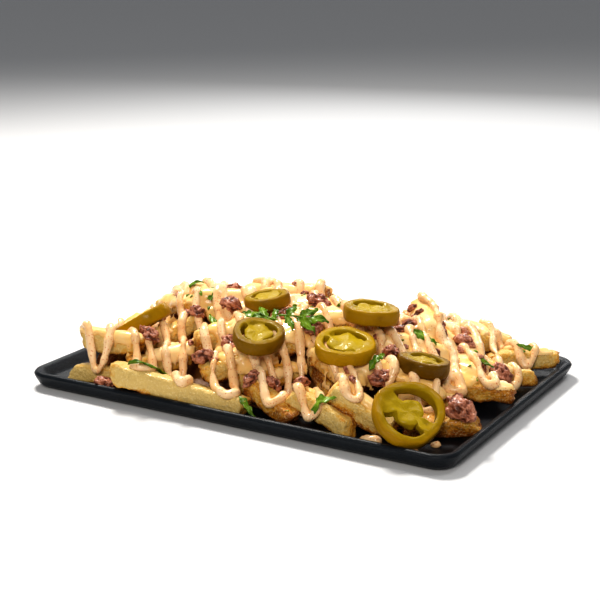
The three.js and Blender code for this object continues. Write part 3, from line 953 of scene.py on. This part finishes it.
def leafBlade(length, width, curl, lobes, seed):
    # a blade with lobes at its margin, a fold along its midrib and a wave across it
    blade = bmesh.new()
    bmesh.ops.create_grid(blade, x_segments=leafLook["along"], y_segments=leafLook["across"], size=1)
    values = []
    for v in blade.verts:
        share, side = v.co.x, v.co.y
        outline = (1 - abs(share) ** 2.2) ** 0.75 * (1 - 0.25 * share) + 0.02
        notch = 1 - lobes * (0.5 + 0.5 * math.cos(share * 11 + 1.3 * math.copysign(1, side))) * side * side
        reach = outline * notch
        veins = abs(math.sin(share * 9 - abs(side) * 3.4))
        rib = 1 - smoothStep(abs(side), 0.0, 0.16)
        values.append(max(rib, 0.6 * (1 - smoothStep(veins, 0.0, 0.3)) * (1 - side * side)))
        z = curl * (0.5 - share * share) * 0.6 + abs(side) * width * 0.2 * math.cos(4 * share + seed)
        z += 0.35 * math.sin(9 * share + 5 * side + seed) * abs(side) - 0.18 * rib
        v.co = Vector((share * length / 2, side * reach * width / 2, z)) * mm
    return blade, values


def thickened(blade, values):
    # the blade as a thin closed solid; the copied side takes the same values
    layer = blade.verts.layers.float.new("vein")
    for v, value in zip(blade.verts, values):
        v[layer] = value
    bmesh.ops.remove_doubles(blade, verts=blade.verts, dist=1e-6)
    bmesh.ops.solidify(blade, geom=blade.faces[:], thickness=leafLook["thickness"])
    bmesh.ops.recalc_face_normals(blade, faces=blade.faces)
    return [v[layer] for v in blade.verts]


def stemOf(length, curl, bend):
    stem = bmesh.new()
    bmesh.ops.create_cone(stem, cap_ends=True, segments=8, radius1=0.55 * mm, radius2=0.3 * mm,
                          depth=length * mm)
    bmesh.ops.subdivide_edges(stem, edges=[e for e in stem.edges if e.calc_length() > length * mm / 2],
                              cuts=10, use_grid_fill=True)
    bmesh.ops.rotate(stem, cent=(0, 0, 0), matrix=Matrix.Rotation(math.pi / 2, 3, "Y"), verts=stem.verts)
    for v in stem.verts:
        share = 2 * v.co.x / (length * mm)
        v.co.z += curl * (0.5 - share * share) * 0.5 * mm
        v.co.y += bend * share * share * mm
    return stem, [0.8] * len(stem.verts)


def sprig(length, width, curl, seed):
    shapes = []
    for along, aside, turn, leafLength, leafWidth in sprigLeaflets:
        blade, values = leafBlade(length * leafLength, width * leafWidth, curl * 0.5, 0.3, seed + turn)
        values = thickened(blade, values)
        bmesh.ops.translate(blade, vec=(length * leafLength * 0.42 * mm, 0, 0), verts=blade.verts)
        bmesh.ops.rotate(blade, cent=(0, 0, 0), matrix=Matrix.Rotation(math.radians(turn), 3, "Z"),
                         verts=blade.verts)
        bmesh.ops.translate(blade, vec=Vector((along * length, aside * width * 0.3, 0.4)) * mm,
                            verts=blade.verts)
        shapes.append((blade, values))
    shapes.append(stemOf(length * 0.8, curl, width * 0.06))
    whole = bmesh.new()
    allValues = []
    for bm, values in shapes:
        mesh = meshFrom(bm, "part")
        whole.from_mesh(mesh)
        bpy.data.meshes.remove(mesh)
        allValues.extend(values)
    return whole, allValues


def groundFacing(x, y, reach):
    def side(dx, dy):
        return max(heightAt(x + dx, y + dy), heightAt(x + dx / 2, y + dy / 2))

    slopeX = clamp((side(reach, 0) - side(-reach, 0)) / (2 * reach), -0.6, 0.6)
    slopeY = clamp((side(0, reach) - side(0, -reach)) / (2 * reach), -0.6, 0.6)
    return Vector((-slopeX, -slopeY, 1))


def makeLeaves(trees):
    shapes = []
    for index, (x, y, length, width, yaw, curl) in enumerate(leafPlan):
        if index < 2:
            leaf, values = sprig(length, width, curl, index)
        else:
            leaf, values = leafBlade(length, width, curl, 0.4, index)
            values = thickened(leaf, values)
        bmesh.ops.rotate(leaf, cent=(0, 0, 0), matrix=Matrix.Rotation(math.radians(yaw), 3, "Z"),
                         verts=leaf.verts)
        bmesh.ops.rotate(leaf, cent=(0, 0, 0), matrix=facing(groundFacing(x, y, length / 2.5)),
                         verts=leaf.verts)
        placedOn("herb_" + str(index + 1), leaf, x, y)
        rested(leaf, trees, -0.4, 3, 0.3)
        shapes.append((leaf, {"vein": values}))
    return gathered(shapes, "herb_leaves", ("vein",))


herbBits = {"count": 60, "seed": 7719, "smallest": 1.6, "largest": 4.2}


def makeHerbBits(trees):
    draw = seededDraw(herbBits["seed"])
    shapes = []
    while len(shapes) < herbBits["count"]:
        x = heapPlan["middle"] + draw(-0.94, 0.94) * heapPlan["halfLength"]
        y = draw(-0.94, 0.94) * heapPlan["halfWidth"]
        length, yaw = draw(herbBits["smallest"], herbBits["largest"]), draw(-3.1, 3.1)
        hits = [tree.ray_cast(Vector((x, y, 200)) * mm, Vector((0, 0, -1))) for tree in trees]
        hit = max((h for h in hits if h[0]), key=lambda h: h[0].z, default=None)
        if hit is None or hit[0].z < 12 * mm or hit[1].z < 0.3:
            continue
        bit = bmesh.new()
        bmesh.ops.create_grid(bit, x_segments=6, y_segments=3, size=0.5 * mm)
        bmesh.ops.scale(bit, vec=(length, length * 0.4, 1), verts=bit.verts)
        for v in bit.verts:
            v.co.y *= 1.1 - (2 * v.co.x / (length * mm)) ** 2
            v.co.z = 0.35 * mm * math.sin(v.co.x / mm * 1.7 + yaw) + 0.3 * mm
        values = thickened(bit, [0] * len(bit.verts))
        turn = facing(hit[1]) @ Matrix.Rotation(yaw, 3, "Z")
        bmesh.ops.rotate(bit, cent=(0, 0, 0), matrix=turn, verts=bit.verts)
        bmesh.ops.translate(bit, vec=hit[0], verts=bit.verts)
        shapes.append((bit, {"vein": values}))
    return gathered(shapes, "herb_bits", ("vein",))


# Shader wiring

class Wire:
    def __init__(self, finish, socket):
        self.finish = finish
        self.socket = socket

    def maths(self, operation, *values):
        return self.finish.add("Math", {"operation": operation}, dict(enumerate(values)))

    def __add__(self, other):
        return self.maths("ADD", self, other)

    def __radd__(self, other):
        return self.maths("ADD", other, self)

    def __sub__(self, other):
        return self.maths("SUBTRACT", self, other)

    def __rsub__(self, other):
        return self.maths("SUBTRACT", other, self)

    def __mul__(self, other):
        return self.maths("MULTIPLY", self, other)

    def __rmul__(self, other):
        return self.maths("MULTIPLY", other, self)

    def __truediv__(self, other):
        return self.maths("DIVIDE", self, other)

    def __pow__(self, other):
        return self.maths("POWER", self, other)

    def between(self, low, high):
        return self.finish.add("MapRange", {"interpolation_type": "SMOOTHSTEP"},
                               {"Value": self, "From Min": low, "From Max": high})


class Finish:
    def __init__(self, name):
        self.material = bpy.data.materials.new(name)
        self.material.use_nodes = True
        self.tree = self.material.node_tree
        self.tree.nodes.clear()
        self.shader = self.tree.nodes.new("ShaderNodeBsdfPrincipled")
        output = self.tree.nodes.new("ShaderNodeOutputMaterial")
        self.tree.links.new(self.shader.outputs["BSDF"], output.inputs["Surface"])
        self.coords = self.add("TexCoord", {}, {}, "Object")

    def put(self, socket, value):
        if isinstance(value, Wire):
            self.tree.links.new(value.socket, socket)
        elif isinstance(value, tuple) and len(value) == 3 and socket.type == "RGBA":
            socket.default_value = (*value, 1)
        else:
            socket.default_value = value

    def add(self, kind, settings, sockets, out=0):
        node = self.tree.nodes.new("ShaderNode" + kind)
        for name, value in settings.items():
            if name == "stops":
                ramp = node.color_ramp
                while len(ramp.elements) < len(value):
                    ramp.elements.new(0.5)
                for element, (place, colour) in zip(ramp.elements, value):
                    element.position = place
                    element.color = (*colour, 1)
            else:
                setattr(node, name, value)
        for name, value in sockets.items():
            self.put(node.inputs[name], value)
        return Wire(self, node.outputs[out])

    def noise(self, size, detail=4, roughness=0.55, shift=(0, 0, 0), stretch=(1, 1, 1)):
        spot = self.add("Mapping", {}, {"Vector": self.coords, "Location": shift, "Scale": stretch})
        return self.add("TexNoise", {}, {"Vector": spot, "Scale": 1 / size, "Detail": detail,
                                         "Roughness": roughness})

    def spots(self, size, shift=(0, 0, 0)):
        spot = self.add("Mapping", {}, {"Vector": self.coords, "Location": shift})
        return self.add("TexVoronoi", {}, {"Vector": spot, "Scale": 1 / size}, "Distance")

    def mix(self, a, b, share, mode="MIX"):
        return self.add("Mix", {"data_type": "RGBA", "blend_type": mode}, {0: share, 6: a, 7: b}, 2)

    def bump(self, height, strength, distance, normal=None):
        sockets = {"Height": height, "Strength": strength, "Distance": distance}
        if normal:
            sockets["Normal"] = normal
        return self.add("Bump", {}, sockets, "Normal")

    def done(self, colour, roughness, normal, **constants):
        self.put(self.shader.inputs["Base Color"], colour)
        self.put(self.shader.inputs["Roughness"], roughness)
        if normal:
            self.put(self.shader.inputs["Normal"], normal)
        for name, value in constants.items():
            self.put(self.shader.inputs[name.replace("_", " ")], value)
        return self.material


def fryFinish():
    f = Finish("fried_potato")
    toast = f.add("Attribute", {"attribute_name": "toast"}, {}, "Fac")
    broad = f.noise(14 * mm, 3)
    fine = f.noise(2.2 * mm, 5, 0.65)
    grain = f.noise(0.9 * mm, 3, 0.7)
    blisters = f.spots(1.5 * mm)
    # real browning of edges and ends, plus painted shade on undersides and deep in the heap
    browning = (toast * 0.9 + (broad - 0.5) * 1.1 + (fine - 0.5) * 0.9 - 0.05).between(0, 0.85)
    colour = f.add("ValToRGB", {"stops": [
        (0, (0.71, 0.485, 0.155)),
        (0.3, (0.71, 0.395, 0.065)),
        (0.6, (0.61, 0.245, 0.02)),
        (1, (0.27, 0.075, 0.006)),
    ]}, {"Fac": browning}, "Color")
    # pale specks on the crust grain: partly the crust's own pale crumbs, partly painted sparkle that stands in for
    # small highlights
    colour = f.mix(colour, (0.92, 0.74, 0.38), (grain - 0.52).between(0, 0.14) * 0.5)
    rough = 0.5 - fine * 0.26
    height = fine * 0.6 + grain * 0.7 + blisters * 0.5
    return f.done(colour, rough, f.bump(height, 0.9, 0.9 * mm), Specular_IOR_Level=0.15,
                  Coat_Weight=0.2, Coat_Roughness=0.12)


def moundFinish():
    f = Finish("heap_gap_painted_shade")
    patches = f.noise(9 * mm, 4)
    # painted shade: these dark browns stand for the shade deep in the gaps of the heap
    colour = f.mix((0.12, 0.035, 0.004), (0.36, 0.14, 0.02), patches)
    return f.done(colour, 0.5, f.bump(f.noise(2 * mm), 0.5, 1 * mm))


def cheeseFinish():
    f = Finish("cheese_sauce")
    broad = f.noise(17 * mm, 3)
    fine = f.noise(2.4 * mm, 4)
    colour = f.mix((0.86, 0.52, 0.16), (0.92, 0.64, 0.30), broad.between(0.35, 0.65))
    specks = (0.16 - f.spots(2.6 * mm, (0.3, 0.1, 0))).between(0, 0.05)
    colour = f.mix(colour, (0.60, 0.20, 0.05), specks * 0.6)
    thick = f.add("Attribute", {"attribute_name": "thick"}, {}, "Fac")
    # thin sauce is a darker amber: partly the thin sauce's own colour, partly painted shade deep in the gaps and on
    # faces that look down
    colour = f.mix((0.70, 0.34, 0.045), colour, thick.between(0.35, 0.95))
    rough = 0.22 + fine * 0.14
    return f.done(colour, rough, f.bump(fine, 0.4, 0.6 * mm), Coat_Weight=0.38, Coat_Roughness=0.04,
                  Specular_IOR_Level=0.1,
                  Subsurface_Weight=0.08, Subsurface_Radius=(0.004, 0.002, 0.001), Subsurface_Scale=0.3)


def drizzleFinish():
    f = Finish("spiced_sauce")
    broad = f.noise(12 * mm, 3)
    fine = f.noise(1.6 * mm, 4)
    colour = f.mix((0.84, 0.50, 0.22), (0.92, 0.64, 0.36), broad.between(0.35, 0.65))
    seeds = (0.24 - f.spots(1.3 * mm)).between(0, 0.06)
    colour = f.mix(colour, (0.62, 0.10, 0.02), seeds * 0.85)
    rough = 0.17 + fine * 0.12
    return f.done(colour, rough, f.bump(fine, 0.35, 0.5 * mm), Coat_Weight=0.6, Coat_Roughness=0.03,
                  Specular_IOR_Level=0.1,
                  Subsurface_Weight=0.08, Subsurface_Radius=(0.004, 0.002, 0.001), Subsurface_Scale=0.3)


def trayFinish():
    f = Finish("stoneware")
    broad = f.noise(30 * mm, 3)
    grain = f.noise(0.9 * mm, 4, 0.7)
    colour = f.mix((0.002, 0.0035, 0.006), (0.006, 0.009, 0.013), broad)
    colour = f.mix(colour, (0.05, 0.065, 0.08), (grain - 0.6).between(0, 0.12) * 0.6)
    rough = 0.3 + grain * 0.16
    return f.done(colour, rough, f.bump(grain, 0.6, 0.4 * mm), Specular_IOR_Level=0.2)


def pepperFinish():
    f = Finish("pickled_pepper")
    depth = f.add("Attribute", {"attribute_name": "depth"}, {}, "Fac")
    yellow = f.add("Attribute", {"attribute_name": "yellow"}, {}, "Fac")
    broad = f.noise(9 * mm, 3)
    fine = f.noise(1.3 * mm, 4)
    inward = depth + (fine - 0.5) * 0.05
    dark = f.add("ValToRGB", {"stops": [
        (0, (0.135, 0.062, 0.001)),
        (0.05, (0.165, 0.08, 0.001)),
        (0.12, (0.20, 0.11, 0.002)),
        (0.26, (0.25, 0.15, 0.004)),
        (0.5, (0.36, 0.24, 0.008)),
    ]}, {"Fac": inward}, "Color")
    bright = f.add("ValToRGB", {"stops": [
        (0, (0.38, 0.20, 0.001)),
        (0.05, (0.40, 0.22, 0.001)),
        (0.12, (0.37, 0.225, 0.001)),
        (0.26, (0.36, 0.23, 0.002)),
        (0.5, (0.42, 0.285, 0.006)),
    ]}, {"Fac": inward}, "Color")
    colour = f.mix(dark, bright, yellow)
    colour = f.mix(colour, f.mix(colour, (0.45, 0.42, 0.40), 1, "MULTIPLY"), broad.between(0.5, 0.8) * 0.5)
    colour = f.mix(colour, (0.55, 0.42, 0.06), (fine - 0.58).between(0, 0.12) * depth * 0.6)
    rough = 0.3 + fine * 0.2
    height = fine * 0.6 + f.noise(0.5 * mm, 3) * 0.3
    return f.done(colour, rough, f.bump(height, 0.5, 0.4 * mm), Coat_Weight=0.09, Coat_Roughness=0.05,
                  Specular_IOR_Level=0.06)


def meatFinish():
    f = Finish("browned_meat")
    ridge = f.add("Attribute", {"attribute_name": "ridge"}, {}, "Fac")
    broad = f.noise(8 * mm, 3)
    fibre = f.noise(0.9 * mm, 5, 0.7)
    # lighter on raised fibres and darker in torn hollows: partly the meat's own streaks, partly painted shade
    light = ridge * 0.55 + (broad - 0.5) * 0.7 + (fibre - 0.5) * 0.7 + 0.1
    colour = f.add("ValToRGB", {"stops": [
        (0.1, (0.10, 0.025, 0.010)),
        (0.4, (0.31, 0.095, 0.045)),
        (0.65, (0.54, 0.22, 0.125)),
        (0.95, (0.76, 0.42, 0.29)),
    ]}, {"Fac": light}, "Color")
    rough = 0.5 - fibre * 0.25
    return f.done(colour, rough, f.bump(fibre, 0.7, 0.6 * mm), Specular_IOR_Level=0.2, Coat_Weight=0.3,
                  Coat_Roughness=0.12)


def herbFinish():
    f = Finish("herb_leaf")
    vein = f.add("Attribute", {"attribute_name": "vein"}, {}, "Fac")
    broad = f.noise(6 * mm, 3)
    fine = f.noise(1 * mm, 4)
    colour = f.mix((0.040, 0.11, 0.002), (0.17, 0.29, 0.010), broad.between(0.3, 0.7))
    colour = f.mix(colour, (0.28, 0.38, 0.05), vein * 0.6)
    return f.done(colour, 0.42 - fine * 0.2, f.bump(fine + vein * 0.5, 0.4, 0.3 * mm),
                  Specular_IOR_Level=0.15, Coat_Weight=0.15, Coat_Roughness=0.08)


def finished(piece, material, slot, *nodes):
    piece.data.materials.clear()
    piece.data.materials.append(material)
    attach(piece, "root")
    if nodes:
        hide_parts(*nodes)
    return piece


fryPiece = makeFries()
print("fries made:", len(fryPiece.data.polygons))
mound = makeMound()
coat = makeCheese(fryPiece, mound)
print("cheese made:", len(coat.data.polygons))
drizzle = makeDrizzle([treeOf(fryPiece), treeOf(coat)])
print("drizzle made:", len(drizzle.data.polygons))

finished(fryPiece, fryFinish(), "fries", "fries")
finished(mound, moundFinish(), "fries")
finished(coat, cheeseFinish(), "fries")
finished(drizzle, drizzleFinish(), "fries")


# Tray

def makeTray():
    plan = trayPlan
    r = plan["cornerRadius"]
    section = [
        (0, 0), (r - plan["wallSlope"], 0),
        (r - plan["wallSlope"] * 0.45, plan["height"] * 0.24),
        (r - 0.6, plan["height"] * 0.66),
        (r, plan["height"] * 0.84),
        (r - plan["lipWidth"] * 0.3, plan["height"]),
        (r - plan["lipWidth"] * 0.75, plan["height"] * 0.97),
        (r - plan["lipWidth"], plan["height"] * 0.86),
        (r - plan["lipWidth"] - plan["innerSlope"] * 0.5,
         plan["baseThickness"] + (plan["height"] - plan["baseThickness"]) * 0.2),
        (r - plan["lipWidth"] - plan["innerSlope"] * 0.4 - 1.6, plan["baseThickness"]),
        (0, plan["baseThickness"]),
    ]
    tray = bmesh.new()
    line = [tray.verts.new((radius * mm, 0, z * mm)) for radius, z in section]
    edges = [tray.edges.new(pair) for pair in zip(line, line[1:])]
    steps = 64
    bmesh.ops.rotate(tray, verts=tray.verts, matrix=Matrix.Rotation(math.pi / steps, 3, "Z"))
    bmesh.ops.spin(tray, geom=line + edges, cent=(0, 0, 0), axis=(0, 0, 1), angle=2 * math.pi,
                   steps=steps, use_merge=True)
    bmesh.ops.remove_doubles(tray, verts=tray.verts, dist=1e-6)
    reachX = (plan["length"] / 2 - r) * mm
    reachY = (plan["width"] / 2 - r) * mm
    for v in tray.verts:
        if math.hypot(v.co.x, v.co.y) > 1e-5:
            v.co.x += math.copysign(reachX, v.co.x)
            v.co.y += math.copysign(reachY, v.co.y)
    bmesh.ops.recalc_face_normals(tray, faces=tray.faces)
    piece = pieceFrom(tray, "stoneware_tray")
    softer = piece.modifiers.new("softer", "BEVEL")
    softer.width = 0.5 * mm
    softer.segments = 2
    softer.limit_method = "ANGLE"
    softer.angle_limit = math.radians(12)
    return applied(piece)


finished(makeTray(), trayFinish(), "tray", "tray")
print("tray made")


# Toppings on the heap

surfaces = [treeOf(fryPiece), treeOf(coat)]
pepperNames = [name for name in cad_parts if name.startswith("jalapeno")]
meatNames = [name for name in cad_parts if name.startswith("meat")]
herbNames = [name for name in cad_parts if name.startswith("herb")]
meat = meatFinish()
herb = herbFinish()
finished(makePeppers(surfaces), pepperFinish(), "jalapeno", *pepperNames)
finished(makeMeat(surfaces), meat, "meat", *meatNames)
finished(makeMeatBits(surfaces), meat, "meat")
finished(makeLeaves(surfaces + [treeOf(drizzle)]), herb, "herb", *herbNames)
finished(makeHerbBits(surfaces), herb, "herb")
print("toppings made")


# Floor, lights and camera

def areaLight(name, place, target, size, power, colour=(1, 1, 1)):
    lamp = bpy.data.lights.new(name, "AREA")
    lamp.shape = "RECTANGLE"
    lamp.size, lamp.size_y = size
    lamp.energy = power
    lamp.color = colour
    holder = bpy.data.objects.new(name, lamp)
    holder.location = place
    holder.rotation_mode = "QUATERNION"
    holder.rotation_quaternion = (Vector(target) - Vector(place)).to_track_quat("-Z", "Y")
    bpy.context.scene.collection.objects.link(holder)


def makeStage():
    floor = bmesh.new()
    bmesh.ops.create_grid(floor, x_segments=1, y_segments=1, size=12)
    piece = pieceFrom(floor, "floor", False)
    f = Finish("pale_floor")
    piece.data.materials.append(f.done((0.66, 0.66, 0.665), 0.8, None, Specular_IOR_Level=0.1))
    world = bpy.data.worlds.new("studio")
    bpy.context.scene.world = world
    world.use_nodes = True
    background = world.node_tree.nodes["Background"]
    background.inputs["Color"].default_value = (0.95, 0.97, 1, 1)
    background.inputs["Strength"].default_value = 0.22
    areaLight("key", (-0.45, 0.35, 0.85), (0, 0, 0.02), (0.24, 0.22), 13.4, (1, 0.97, 0.92))
    areaLight("front_fill", (0.35, -0.95, 0.7), (0, 0, 0.02), (0.35, 0.35), 5.5, (1, 0.96, 0.9))
    areaLight("top", (0.35, 0.25, 1), (0, 0, 0), (0.3, 0.3), 2)
    areaLight("rim", (-0.25, 1.1, 0.42), (0, 0, 0.02), (0.9, 0.12), 2.2)
    bpy.context.scene.view_settings.view_transform = "Standard"
    bpy.context.scene.view_settings.look = "Medium High Contrast"


cameraPlan = {"azimuth": 30.2, "elevation": 15.55, "distance": 0.720, "lens": 82.2,
              "aside": -0.0028, "up": 0.0423}


def makeCamera():
    plan = cameraPlan
    a, e = math.radians(plan["azimuth"]), math.radians(plan["elevation"])
    back = Vector((math.sin(a) * math.cos(e), -math.cos(a) * math.cos(e), math.sin(e)))
    right = Vector((math.cos(a), math.sin(a), 0))
    up = back.cross(right)
    data = bpy.data.cameras.new("camera")
    data.sensor_width = 36
    data.lens = plan["lens"]
    data.clip_start = 0.01
    camera = bpy.data.objects.new("camera", data)
    camera.location = back * plan["distance"] + right * plan["aside"] + up * plan["up"]
    camera.rotation_mode = "QUATERNION"
    camera.rotation_quaternion = Matrix((right, up, back)).transposed().to_quaternion()
    bpy.context.scene.collection.objects.link(camera)
    bpy.context.scene.camera = camera


makeStage()
makeCamera()
